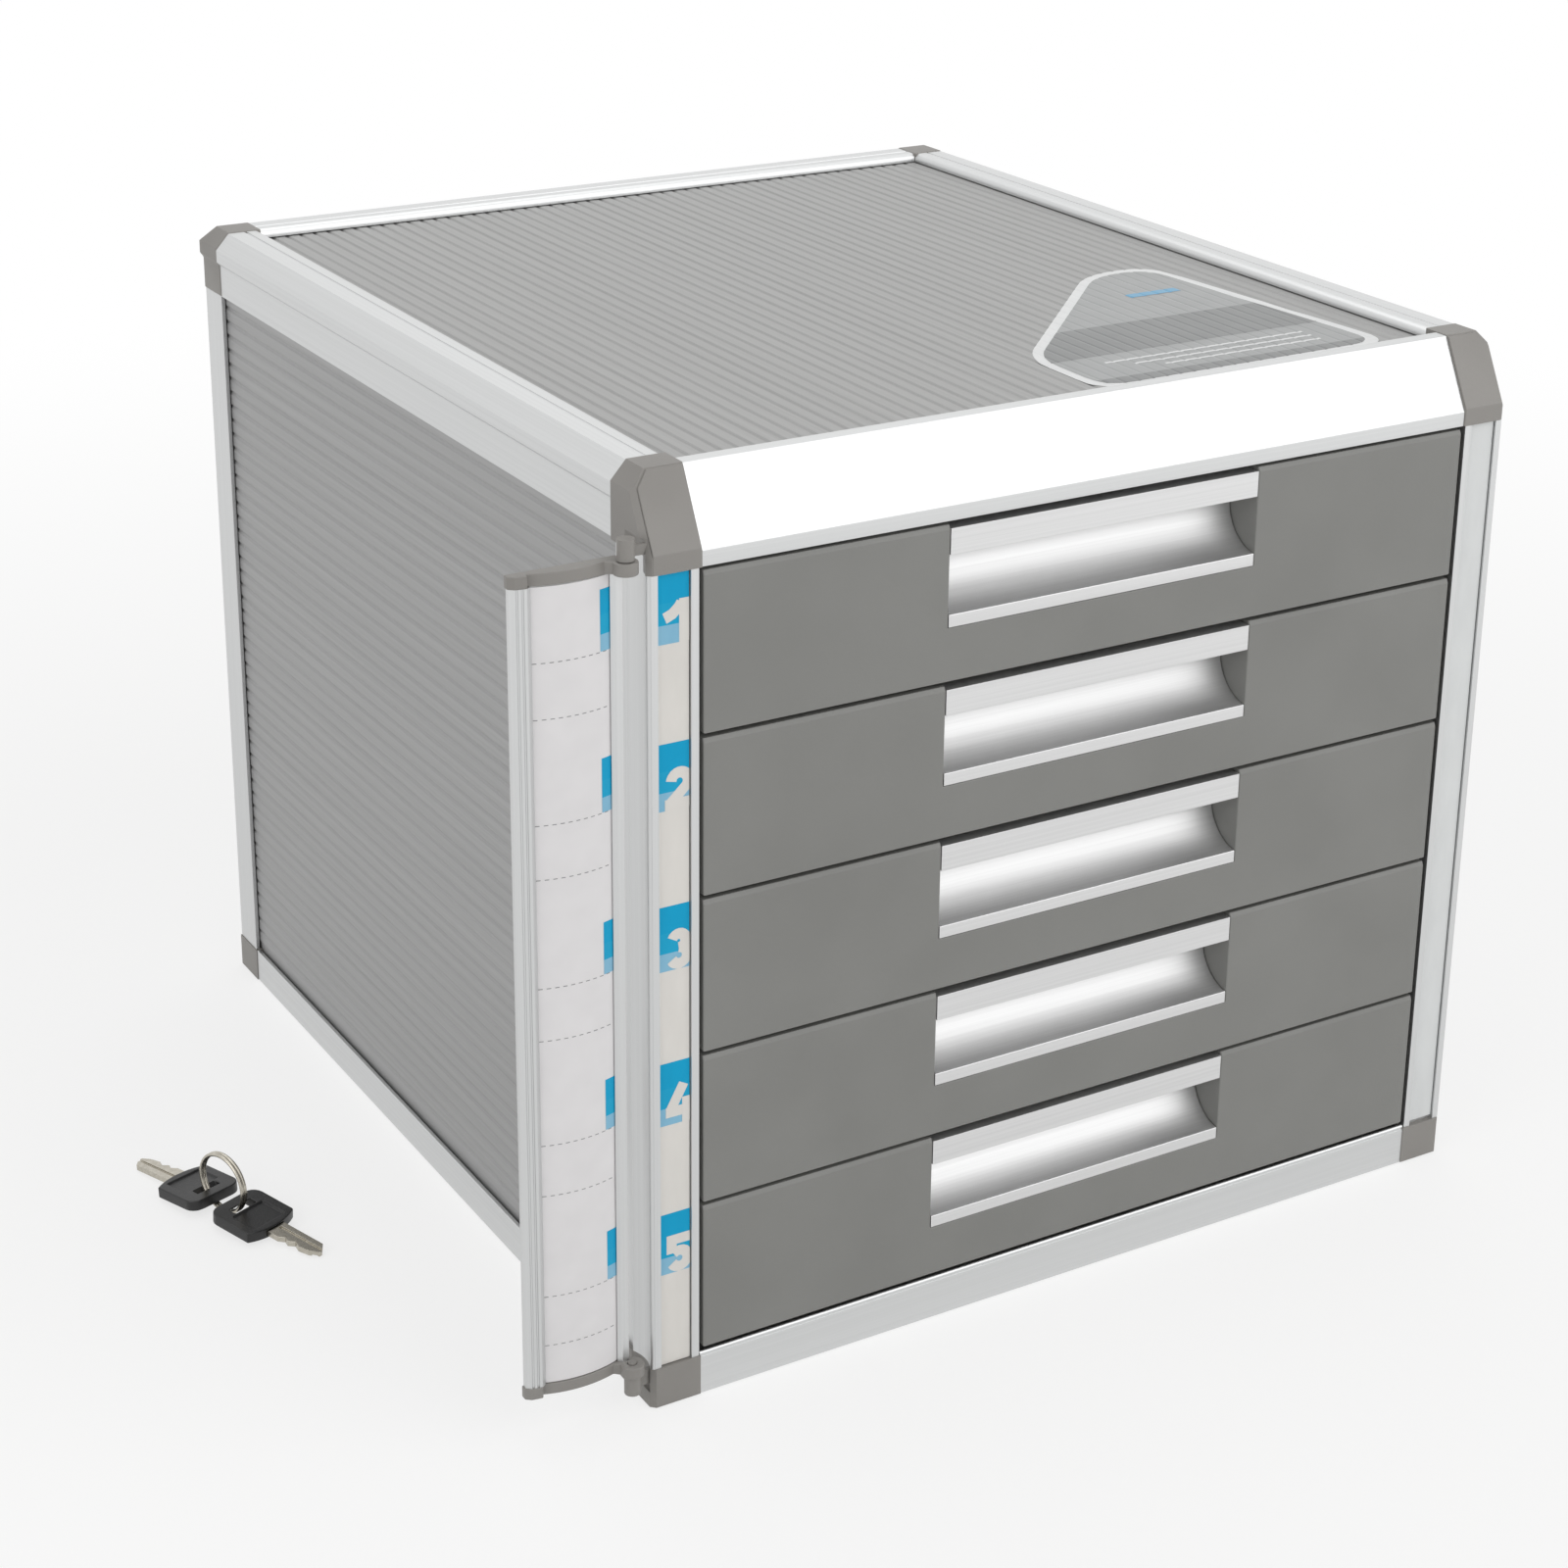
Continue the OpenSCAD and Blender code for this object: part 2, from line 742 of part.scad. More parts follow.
module base_screw(p) {
    translate([p[0], p[1], 0.2]) cylinder(d = 2 * screw_d, h = screw_head);
    translate([p[0], p[1], screw_head]) cylinder(d = screw_d, h = screw_end - screw_head);
}

module base_screws() {
    color("dimgray")
        for (side = [-1, 1]) {
            at_corner(side, -1) base_screw(front_screw);
            at_corner(side, 1) base_screw(rear_screw);
        }
}

// ---- Panels ----

module top_panel() {
    inset = 3;
    y0 = header_d - inset - fit;
    color("darkgray")
        difference() {
            translate([inset - half_w, -half_d, top_z + shelf_top + fit])
                run_y(y0, cab_d - inset) polygon(board_outline(cab_w - 2 * inset));
            for (side = [-1, 1]) {
                at_corner(side, -1)
                    translate([0, 0, crown_z]) cube([cap_w + fit, cap_l + fit, crown_drop]);
                at_corner(side, 1)
                    translate([0, 0, crown_z])
                        cube([rear_cap + fit, rear_cap + fit, crown_drop]);
            }
        }
}

// Upright board in local corner axes, its ribs facing outwards, between y0 and y1
module upright_board(y0, y1) {
    run_y(y0, y1)
        translate([wall + fit + board, side_board_z0])
            rotate(90) polygon(board_outline(side_board_z1 - side_board_z0));
}

module side_board(side) {
    at_corner(side, -1)
        difference() {
            upright_board(post_d - board_seat + fit, cab_d - post_w + board_seat - fit);
            cube([hollow_x, block_l + fit, block_h + fit]);
            translate([0, 0, crown_z - fit]) cube([hollow_x, cap_l + fit, crown_drop]);
            translate([0, cab_d - rear_block - fit, 0])
                cube([hollow_x, rear_block, base_h + fit]);
            translate([0, cab_d - rear_cap - fit, crown_z - fit])
                cube([hollow_x, rear_cap, crown_drop]);
        }
}

module left_panel() { color("darkgray") side_board(-1); }

module right_panel() {
    color("darkgray")
        difference() {
            side_board(1);
            translate([board_in - 1, lock_y - half_d, lock_z]) rotate([0, 90, 0])
                cylinder(d = barrel_d + 2 * fit, h = board + 2);
        }
}

module rear_panel() {
    edge = post_w - board_seat + fit;
    color("darkgray")
        translate([half_w, half_d, 0]) rotate(90)
            difference() {
                mirror([1, 0, 0]) upright_board(edge, cab_w - edge);
                for (y = [0, cab_w - rear_cap - fit]) {
                    translate([-hollow_x, y, 0]) cube([hollow_x, rear_cap + fit, base_h + fit]);
                    translate([-hollow_x, y, crown_z - fit])
                        cube([hollow_x, rear_cap + fit, crown_drop]);
                }
            }
}

// Block with sloping sides, from size p at its base to size q at its top
module dish(p, q, z0, z1) {
    intersection() {
        run_x(-q[0], q[0]) polygon([[-p[1], z0], [p[1], z0], [q[1], z1], [-q[1], z1]]);
        run_y(-q[1], q[1]) polygon([[-p[0], z0], [p[0], z0], [q[0], z1], [-q[0], z1]]);
    }
}

// Pressed base sheet: its edges lie on the rails' ledges, its sunk field stands on the table
module bottom_panel() {
    gap = rail_w + 0.2;
    edge = floor_z + wall;
    field = [runner_x - 16, half_d - post_d - 16];
    rise = [edge, edge];
    color("silver")
        difference() {
            union() {
                translate([gap - half_w, gap - half_d, edge])
                    cube([cab_w - 2 * gap, cab_d - 2 * gap, floor_t]);
                dish(field, field + rise, 0, edge + 0.01);
            }
            dish(field - [floor_t, floor_t] / 2, field + rise - [floor_t, floor_t] / 2,
                 floor_t, edge + floor_t + 0.01);
        }
}

// ---- Runner panels ----

// Guide that the locking bar slides in
module bar_guide(z) {
    for (s = [-1, 1])
        translate([runner_x + runner_t - 0.1, bar_y, z]) {
            translate([0, s * (bar_w / 2 + fit + 1) - 1, 0])
                cube([bar_x1 + fit + 1.2 - runner_x - runner_t + 0.1, 2, 10]);
            translate([bar_x1 + fit - runner_x - runner_t + 0.1, s * (bar_w / 2 - 0.2) - 2.2, 0])
                cube([1.2, 4.4, 10]);
        }
}

// Panel with a groove for each tray's rim, drawn on the right side
module runner_panel() {
    low = floor_top;
    difference() {
        translate([runner_x, runner_y0, low])
            cube([runner_t, runner_y1 - runner_y0, crown_z - low]);
        translate([runner_x - 1, cab_d - rail_w - fit, low - 1])
            cube([runner_t + 2, rail_w, base_h + fit + 1 - low]);
    }
    for (y = [runner_y0, runner_y1 - 1.5])
        translate([runner_x, y, block_h + 1])
            cube([runner_inset - hollow_x - 1, 1.5, crown_z - block_h - 2]);
    for (i = [1:drawers]) {
        zt = front_top(i);
        for (z = [zt - ledge_low, zt - rim_drop + fit])
            translate([runner_x - ledge_w, ledge_y0, z])
                cube([ledge_w + 1, ledge_y1 - ledge_y0, ledge_t]);
        // Stop that holds the open drawer
        translate([tray_half + fit, stop_y - travel - fit - stop_l, zt - lug_top - lug_h])
            cube([runner_x - tray_half, stop_l, lug_h + 1]);
    }
}

module left_runner_panel() {
    color("slategray")
        mirror([1, 0, 0]) translate([0, -half_d, 0]) runner_panel();
}

module right_runner_panel() {
    color("slategray")
        translate([0, -half_d, 0]) {
            difference() {
                runner_panel();
                // Windows for the locking bar's tabs
                for (i = [1:drawers])
                    translate([runner_x - 1, bar_y - tab_w / 2 - 0.6,
                               front_top(i) - tab_rest - tab_h - 2 * fit])
                        cube([runner_t + 2, tab_w + 1.2, bar_stroke + tab_h + 3 * fit]);
            }
            bar_guide(front_top(2) - 2);
            bar_guide(front_top(5) - 12);
        }
}

// ---- Drawers ----

function handle_outline() =
    let (
        r = recess_d + 1,
        low = -handle_drop - lip_h - recess_h,
        mid = low + sqrt(r * r - 1),
        r_out = r + handle_wall,
        a_in = -acos(1 / r),
        a_out = -acos((1 + handle_wall) / r_out),
        c = [-1, mid])
    concat(
        [[0, -handle_drop - lip_h], [0, -handle_drop],
         [recess_d + handle_wall, -handle_drop]],
        arc(c, r_out, 0, a_out, 16),
        [[handle_wall, low - foot_h], [0, low - foot_h]],
        arc(c, r, a_in, 0, 16),
        [[recess_d, -handle_drop - handle_wall], [handle_wall, -handle_drop - handle_wall],
         [handle_wall, -handle_drop - lip_h]]);

module drawer_handle(i) {
    color("gainsboro")
        translate([0, -half_d, front_top(i)])
            run_x(-handle_l / 2, handle_l / 2) polygon(handle_outline());
}

module drawer_front(i) {
    color("dimgray")
        translate([0, -half_d, front_top(i)])
            difference() {
                union() {
                    difference() {
                        run_x(-front_half, front_half)
                            polygon([
                                [0, -front_h], [0, -front_bevel], [front_bevel / 2, 0],
                                [front_rim, 0], [front_rim, -front_h]]);
                        translate([rim_wall - front_half, front_t, rim_wall - front_h])
                            cube([2 * (front_half - rim_wall), front_rim,
                                  front_h - 2 * rim_wall]);
                    }
                    // Walls of the pocket that holds the handle
                    translate([-notch_half - rim_wall, 0.5, -notch_h - rim_wall])
                        cube([2 * (notch_half + rim_wall), pocket_d - 0.5,
                              notch_h + rim_wall - front_bevel]);
                }
                translate([-notch_half, -1, -notch_h])
                    cube([2 * notch_half, pocket_d + 2, notch_h + 1]);
                translate([-notch_half, front_t + 2, -notch_h - rim_wall - 1])
                    cube([2 * notch_half, pocket_d, rim_wall + 2]);
            }
}

// Axes through the rivet of a tray's catch, from the height of the front's top edge
module at_catch(x) {
    translate([x, catch_y + catch_t / 2, -catch_drop - catch_h / 2]) rotate([0, 90, 0])
        children();
}

// Catch for the locking bar, riveted through the tray's right wall
module lock_catch() {
    inner = tray_half - tray_wall;
    translate([tray_half + 0.05, catch_y, -catch_drop - catch_h])
        cube([rim_half - tray_half - 0.05, catch_t, catch_h]);
    at_catch(inner - 0.9) cylinder(d = 4.4, h = 0.85);
    at_catch(inner - 0.1) cylinder(d = rivet_d, h = tray_wall + 0.3);
}

// Tray with its sliding rims and rear stops, and with the lock's catch at the right
module drawer_tray(i) {
    low = -rim_drop - tray_h;
    color("gray")
        translate([0, -half_d, front_top(i)]) {
            difference() {
                union() {
                    translate([-tray_half, front_t, low])
                        cube([2 * tray_half, tray_l, tray_h]);
                    translate([-rim_half, front_rim + 2, -rim_low])
                        cube([2 * rim_half, tray_l - front_rim - 2, rim_t]);
                    for (s = [-1, 1])
                        translate([s > 0 ? tray_half - 1 : -tray_half - lug_w, stop_y,
                                   -lug_top - lug_h])
                            cube([lug_w + 1, stop_l, lug_h]);
                }
                translate([tray_wall - tray_half, front_t + tray_wall, low + tray_wall])
                    cube([2 * (tray_half - tray_wall), tray_l - 2 * tray_wall, tray_h]);
                translate([-notch_half - rim_wall - 0.5, 0, -notch_h - rim_wall - 0.5])
                    cube([2 * (notch_half + rim_wall + 0.5), front_t + tray_wall + 1,
                          notch_h + rim_wall + 1]);
                at_catch(tray_half - tray_wall - 1)
                    cylinder(d = rivet_d + 0.1, h = tray_wall + 2);
            }
            lock_catch();
        }
}

// ---- Lock ----

module at_lock(x) {
    translate([x, lock_y - half_d, lock_z]) rotate([0, 90, 0]) children();
}

module lock_housing() {
    color("silver")
        difference() {
            union() {
                at_lock(barrel_end) cylinder(d = barrel_d, h = board_out - barrel_end + 0.5);
                at_lock(board_out) cylinder(d = barrel_d + 4, h = flange_t);
            }
            at_lock(barrel_end - 1)
                cylinder(d = plug_d + 0.1, h = board_out + flange_t + 2 - barrel_end);
        }
}

module lock_nut() {
    color("gold")
        difference() {
            at_lock(board_in - 3.1) cylinder(d = barrel_d + 6, h = 3, $fn = 6);
            at_lock(board_in - 5) cylinder(d = barrel_d + 0.2, h = 10);
        }
}

module lock_plug() {
    key_slot = 2;
    color("silver")
        difference() {
            union() {
                at_lock(barrel_end) cylinder(d = plug_d, h = board_out + flange_t - barrel_end);
                at_lock(cam_x0 - 0.6) cylinder(d = 6, h = barrel_end - cam_x0 + 1.6);
            }
            translate([board_out + flange_t - 8, lock_y - half_d, lock_z])
                cube([20, key_slot, blade_w + 0.4], center = true);
        }
}

// Axes at the cam's pin
module at_pin(x) {
    translate([x, pin_y - half_d, pin_z]) rotate([0, 90, 0]) children();
}

module lock_cam() {
    color("goldenrod")
        difference() {
            union() {
                at_lock(cam_x0) cylinder(d = 11, h = cam_t);
                at_pin(cam_x0) cylinder(d = cam_pin + 2.6, h = cam_t);
            }
            at_lock(cam_x0 - 1) cylinder(d = 6.1, h = cam_t + 2);
            at_pin(cam_x0 - 1) cylinder(d = cam_pin, h = cam_t + 2);
        }
}

// Pin riveted into the cam, which lifts the locking bar
module lock_pin() {
    color("silver") at_pin(bar_x0 - fit) cylinder(d = cam_pin, h = plug_end + fit - bar_x0);
}

// Bar beside the pin, with a lug that lies on the pin and a tab for each drawer
module lock_bar() {
    low = front_top(drawers) - tab_rest - tab_h - 3;
    side = bar_y - bar_w / 2;
    color("lightsteelblue")
        translate([0, -half_d, 0]) {
            translate([bar_x0, side, low]) cube([bar_t, bar_w, lift_z + 5 - low]);
            translate([bar_x0, side, lift_z])
                cube([bar_t, lock_y + cam_r + cam_pin / 2 + 1 - side, 5]);
            for (i = [1:drawers])
                translate([tab_x0, bar_y - tab_w / 2, front_top(i) - tab_rest - tab_h])
                    cube([bar_x0 + 1 - tab_x0, tab_w, tab_h]);
        }
}

// ---- Index flap ----

module at_hinge() {
    translate([hinge_x, hinge_y, 0]) mirror([1, 0, 0]) children();
}

// Curved sheet between two radii around the flap's centre line
module curved_sheet(r0, r1, x0, x1) {
    intersection() {
        translate(flap_c)
            difference() {
                circle(r = r1, $fn = 180);
                circle(r = r0, $fn = 180);
            }
        translate([x0, 0]) square([x1 - x0, flap_back + 1]);
    }
}

module label_flap() {
    r1 = flap_r - card_t - 0.05;
    color("silver")
        at_hinge()
            translate([0, 0, flap_z0]) linear_extrude(flap_z1 - flap_z0)
                difference() {
                    union() {
                        curved_sheet(r1 - flap_t, r1, rib_w - 0.5, lip_x0 + 0.5);
                        polygon([
                            [0.1, 1.8], [rib_w, 1.8], [rib_w + 1.2, 2.8], [rib_w + 1.2, 3.2],
                            [rib_w, 3.2], [rib_w, flap_back], [0.1, flap_back]]);
                        polygon([
                            [lip_x0 - 1, 2.9], [lip_x0 + 0.4, 2], [flap_end - 1.4, 2.6],
                            [flap_end, 3.8], [flap_end, flap_back], [lip_x0, flap_back],
                            [lip_x0, 3.3], [lip_x0 - 1, 3.2]]);
                    }
                    for (x = [1.6, 3.1])
                        translate([lip_x0 + x, 2 + x / 7]) circle(r = 0.35, $fn = 24);
                }
}

module label_card() {
    color("white")
        at_hinge()
            translate([0, 0, flap_z0 + 0.3]) linear_extrude(flap_z1 - flap_z0 - 0.6)
                curved_sheet(flap_r - card_t, flap_r, card_x0, lip_x0 - 0.1);
}

// Moulded arm at an end of the flap, with the eye of the hinge
module flap_arm(z) {
    r = flap_r + 0.3;
    a0 = -90 - asin((flap_mid - 5) / r);
    a1 = -90 + asin((lip_x0 - flap_mid) / r);
    color("darkgray")
        at_hinge()
            translate([0, 0, z]) linear_extrude(arm_t)
                difference() {
                    union() {
                        circle(r = arm_r);
                        polygon(concat(
                            [[0, -2]],
                            arc(flap_c, r, a0, a1, 14),
                            [[lip_x0 + 0.4, 1.7], [flap_end - 1.2, 2.3], [flap_end + 0.4, 3.6],
                             [flap_end + 0.4, flap_back + 0.3], [0, flap_back + 0.3]]));
                    }
                    circle(d = pin_d + 2 * pin_gap);
                }
}

// ---- Keys ----

// Local axes of a key on the floor: x along its blade from the middle of the head
module at_key(k) {
    a = key_turn[k];
    translate([ring_at[0] + key_apart * cos(a), ring_at[1] + key_apart * sin(a), key_mid_z])
        rotate([0, 0, a]) rotate([0, key_tilt, 0]) children();
}

module key_head(k) {
    l = head_l / 2;
    w = head_w / 2;
    bow_r = 2 * w + 1;
    color("black")
        at_key(k)
            difference() {
                translate([0, 0, -head_t / 2]) linear_extrude(head_t)
                    polygon(concat(
                        arc([4 - l, 4 - w], 4, 180, 270, 5),
                        arc([l - bow_r, 0], bow_r, -asin(w / bow_r), asin(w / bow_r), 10),
                        arc([4 - l, w - 4], 4, 90, 180, 5)));
                // The slot leans as the ring does where it passes through the head
                translate([slot_x, 0, 0]) rotate([0, slot_lean, 0])
                    cube([wire_d + 0.8, 9, 4 * head_t], center = true);
                for (s = [-1, 1])
                    translate([-2.5, -w + 3.5, s > 0 ? head_t / 2 - 0.6 : -head_t / 2 - 1])
                        cube([10, 2 * w - 7, 1.6]);
                translate([2, -blade_w / 2 - 0.05, -blade_t / 2 - 0.05])
                    cube([20, blade_w + 0.1, blade_t + 0.1]);
            }
}

module key_blade(k) {
    w = blade_w / 2;
    color("silver")
        at_key(k)
            difference() {
                translate([0, 0, -blade_t / 2]) linear_extrude(blade_t)
                    polygon([
                        [2, -w], [15, -w], [17, -w + 1.2], [19, -w + 0.4], [21, -w + 1.8],
                        [23.5, -w + 0.7], [blade_reach - 3, -w + 1.4], [blade_reach, -0.6],
                        [blade_reach, 0.8], [blade_reach - 2.4, w], [2, w]]);
                translate([head_l / 2 + 1, 0.2, blade_t / 2 - 0.5]) cube([30, 1.2, 1]);
                translate([head_l / 2 + 1, -1.6, -blade_t / 2 - 0.5]) cube([30, 1.2, 1]);
            }
}

module key_ring() {
    a = (key_turn[0] + key_turn[1]) / 2 + 90;
    color("silver")
        translate([ring_at[0], ring_at[1], (ring_d + wire_d) / 2])
            rotate([90, 0, a]) rotate_extrude()
                for (turn = [-1, 1])
                    translate([ring_d / 2, turn * 0.45 * wire_d]) circle(d = wire_d, $fn = 24);
}

// ---- Assembly ----

top_front_rail();
top_side_rail(-1);  // top_left_rail
top_side_rail(1);  // top_right_rail
top_rear_rail();
bottom_front_rail();
bottom_side_rail(-1);  // bottom_left_rail
bottom_side_rail(1);  // bottom_right_rail
bottom_rear_rail();
front_post(-1);  // front_left_post
front_post(1);  // front_right_post
rear_post(-1);  // rear_left_post
rear_post(1);  // rear_right_post
cap_front_left();
cap_front_right();
rear_corner_cap(-1);  // cap_rear_left
rear_corner_cap(1);  // cap_rear_right
block_front_left();
block_front_right();
rear_block(-1);  // block_rear_left
rear_block(1);  // block_rear_right
top_panel();
left_panel();
right_panel();
rear_panel();
bottom_panel();
number_strip();
plain_strip();
left_runner_panel();
right_runner_panel();
base_screws();
label_flap();
flap_arm(flap_z1);  // flap_top_arm
flap_arm(flap_z0 - arm_t);  // flap_bottom_arm
label_card();
lock_housing();
lock_nut();
lock_plug();
lock_cam();
lock_pin();
lock_bar();
key_ring();
key_blade(0);  // key_1_blade
key_head(0);  // key_1_head
key_blade(1);  // key_2_blade
key_head(1);  // key_2_head
for (i = [1:drawers]) {
    drawer_front(i);
    drawer_handle(i);
    drawer_tray(i);
}
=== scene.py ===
import math

import bmesh
import bpy
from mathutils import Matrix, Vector


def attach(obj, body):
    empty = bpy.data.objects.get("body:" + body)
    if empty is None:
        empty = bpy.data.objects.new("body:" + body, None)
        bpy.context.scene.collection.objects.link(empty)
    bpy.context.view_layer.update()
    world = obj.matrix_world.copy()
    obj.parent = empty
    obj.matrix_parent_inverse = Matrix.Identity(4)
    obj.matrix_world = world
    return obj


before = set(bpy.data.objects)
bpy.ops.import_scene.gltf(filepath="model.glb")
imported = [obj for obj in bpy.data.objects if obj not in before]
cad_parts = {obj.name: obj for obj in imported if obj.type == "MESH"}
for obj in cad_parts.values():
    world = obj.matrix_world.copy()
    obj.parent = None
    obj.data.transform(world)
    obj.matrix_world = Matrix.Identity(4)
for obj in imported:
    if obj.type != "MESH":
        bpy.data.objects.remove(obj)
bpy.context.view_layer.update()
scene = bpy.context.scene
scene.view_settings.view_transform = "Standard"
MM = 0.001


# ---- Table and light ----
# A pale matt table under a photographer's soft light: a large lamp ahead at the right, a weaker
# one at the left and an even dome over both. The camera stands off the left front corner.

def linear(code):
    """The linear colour of an sRGB hex value"""
    shares = [int(code[i:i + 2], 16) / 255 for i in (0, 2, 4)]
    return [s / 12.92 if s <= 0.04045 else ((s + 0.055) / 1.055) ** 2.4 for s in shares] + [1.0]


def add(tree, kind, settings={}, inputs={}):
    """Adds a shader node with its settings; an input that is given a socket is linked to it"""
    made = tree.nodes.new("ShaderNode" + kind)
    for name, value in settings.items():
        setattr(made, name, value)
    for name, value in inputs.items():
        if isinstance(value, bpy.types.NodeSocket):
            tree.links.new(value, made.inputs[name])
        else:
            made.inputs[name].default_value = value
    return made


def new_material(name):
    """An empty material and its node tree"""
    made = bpy.data.materials.new(name)
    made.use_nodes = True
    made.node_tree.nodes.clear()
    return made, made.node_tree


def seen_directly(tree):
    """1 for rays from the camera, a mirror or a glass, and 0 for light that falls on a surface"""
    path = add(tree, "LightPath")
    both = add(tree, "Math", {"operation": "MAXIMUM"},
               {0: path.outputs["Is Camera Ray"], 1: path.outputs["Is Glossy Ray"]})
    return add(tree, "Math", {"operation": "MAXIMUM"},
               {0: both.outputs[0], 1: path.outputs["Is Transmission Ray"]}).outputs[0]


DOME = 0.41
world = bpy.data.worlds.new("studio")
world.use_nodes = True
scene.world = world
world.node_tree.nodes.clear()
dome = add(world.node_tree, "Background", inputs={"Color": linear("FFFFFF"), "Strength": DOME})
backdrop = add(world.node_tree, "Background", inputs={"Color": linear("FFFFFF"), "Strength": 1.0})
either = add(world.node_tree, "MixShader", inputs={
    0: seen_directly(world.node_tree), 1: dome.outputs[0], 2: backdrop.outputs[0]})
add(world.node_tree, "OutputWorld", inputs={"Surface": either.outputs[0]})

# Matt laminate, nearly white; its share of plain white grows away from the cabinet
table_finish, tree = new_material("matt_white_laminate")
where = add(tree, "TexCoord").outputs["Object"]
away = add(tree, "VectorMath", {"operation": "LENGTH"}, {0: where}).outputs["Value"]
fade = add(tree, "MapRange", {"interpolation_type": "SMOOTHSTEP"}, {
    "Value": away, "From Min": 0.3, "From Max": 1.1, "To Min": 0.72, "To Max": 1.0}).outputs[0]
share = add(tree, "Math", {"operation": "MULTIPLY"}, {0: fade, 1: seen_directly(tree)}).outputs[0]
matt = add(tree, "BsdfDiffuse", inputs={"Color": linear("F6F6F5")})
plain = add(tree, "Emission", inputs={"Color": linear("FFFFFF"), "Strength": 1.0})
mixed = add(tree, "MixShader", inputs={0: share, 1: matt.outputs[0], 2: plain.outputs[0]})
add(tree, "OutputMaterial", inputs={"Surface": mixed.outputs[0]})

# In metres; its top lies a hair below the cabinet's base, so that the two share no plane
TABLE_HALF, TABLE_TOP = 4.0, -0.0004
mesh = bpy.data.meshes.new("table")
mesh.from_pydata([(x * TABLE_HALF, y * TABLE_HALF, TABLE_TOP)
                  for x, y in ((-1, -1), (1, -1), (1, 1), (-1, 1))], [], [(0, 1, 2, 3)])
mesh.materials.append(table_finish)
table = bpy.data.objects.new("table", mesh)
scene.collection.objects.link(table)

MIDDLE = Vector((0, 0, 0.14))
for name, place, size, watts in (
        ("lamp_right", (0.85, -1.55, 1.15), 2.3, 19),
        ("lamp_left", (-1.7, -0.5, 0.95), 1.3, 8),
        ("lamp_over", (0.1, 0.5, 1.9), 1.6, 8)):
    light = bpy.data.lights.new(name, "AREA")
    light.size = size
    light.energy = watts
    lamp = bpy.data.objects.new(name, light)
    lamp.location = place
    lamp.rotation_euler = (MIDDLE - lamp.location).to_track_quat("-Z", "Y").to_euler()
    scene.collection.objects.link(lamp)

# Solved from the straight edges of the cabinet in the photograph
camera = bpy.data.objects.new("camera", bpy.data.cameras.new("camera"))
camera.location = (-0.51416, -0.84863, 0.53646)
camera.rotation_euler = [math.radians(a) for a in (69.951, -0.546, -30.461)]
camera.data.sensor_width = 36
camera.data.lens = 71.24
camera.data.shift_y = -0.12
scene.collection.objects.link(camera)
scene.camera = camera


# ---- Bottom rails, posts and top rails ----
# Extruded aluminium sections, etched and anodised in natural silver: a satin metal with faint
# die lines along its length. They are pushed onto the tongues of the corner pieces.

def object_place(tree, size):
    """Coordinates fixed to the cabinet, one unit for each size (x, y, z) in mm"""
    place = add(tree, "TexCoord").outputs["Object"]
    return add(tree, "Mapping", {"vector_type": "POINT"}, {
        "Vector": place, "Scale": [1 / (s * MM) for s in size]}).outputs[0]


def noise(tree, size, detail=2.0, low=0.0, high=1.0):
    """Noise whose grain measures size (x, y, z) in mm, spread from low to high"""
    made = add(tree, "TexNoise", {}, {
        "Vector": object_place(tree, size), "Scale": 1.0, "Detail": detail})
    return add(tree, "MapRange", {}, {
        "Value": made.outputs["Fac"], "From Min": 0.3, "From Max": 0.7,
        "To Min": low, "To Max": high}).outputs[0]


def tinted(tree, colour, dark, amount):
    """The colour, mixed with a darker one by amount"""
    return add(tree, "Mix", {"data_type": "RGBA"}, {
        0: amount, 6: linear(colour), 7: linear(dark)}).outputs[2]


def raised(tree, height, depth):
    """Bump whose relief is depth mm"""
    return add(tree, "Bump", {}, {
        "Height": height, "Strength": 1.0, "Distance": depth * MM}).outputs[0]


def anodised_aluminium(name, along, colour="D2D3D3", dark="CECFCF", rough=0.42):
    """Silver anodised extrusion, its die lines 0.7 mm apart: coarser than real ones, to show"""
    made, tree = new_material(name)
    lines = [0.7, 0.7, 0.7]
    lines[along] = 220
    streak = noise(tree, lines, 2.0)
    grain = noise(tree, (0.35, 0.35, 0.35))
    satin = add(tree, "MapRange", {}, {
        "Value": streak, "To Min": rough - 0.012, "To Max": rough + 0.012}).outputs[0]
    body = add(tree, "BsdfPrincipled", {}, {
        "Base Color": tinted(tree, colour, dark, streak),
        "Metallic": 1.0, "Roughness": satin, "Normal": raised(tree, grain, 0.002)})
    add(tree, "OutputMaterial", inputs={"Surface": body.outputs[0]})
    return made


def round_edges(piece, width, segments=2, angle=20):
    """Rounds a piece's edges by width mm, as anodising, tumbling or a mould leaves them"""
    round_off = piece.modifiers.new("edges", "BEVEL")
    round_off.width = width * MM
    round_off.segments = segments
    round_off.limit_method = "ANGLE"
    round_off.angle_limit = math.radians(angle)
    round_off.miter_outer = "MITER_ARC"
    evened = piece.modifiers.new("normals", "WEIGHTED_NORMAL")
    evened.weight = 80
    evened.keep_sharp = False


def finish_node(node, finish, width=0.0, segments=2):
    """Gives a CAD node its finish, and rounds its edges where width isn't 0"""
    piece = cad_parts[node]
    piece.data.materials.clear()
    piece.data.materials.append(finish)
    if width:
        # Shading then follows the rounded mesh, not the normals that came with it
        if "custom_normal" in piece.data.attributes:
            piece.data.attributes.remove(piece.data.attributes["custom_normal"])
        piece.data.polygons.foreach_set("use_smooth", [True] * len(piece.data.polygons))
        weld = piece.modifiers.new("weld", "WELD")
        weld.merge_threshold = 0.005 * MM
        round_edges(piece, width, segments)


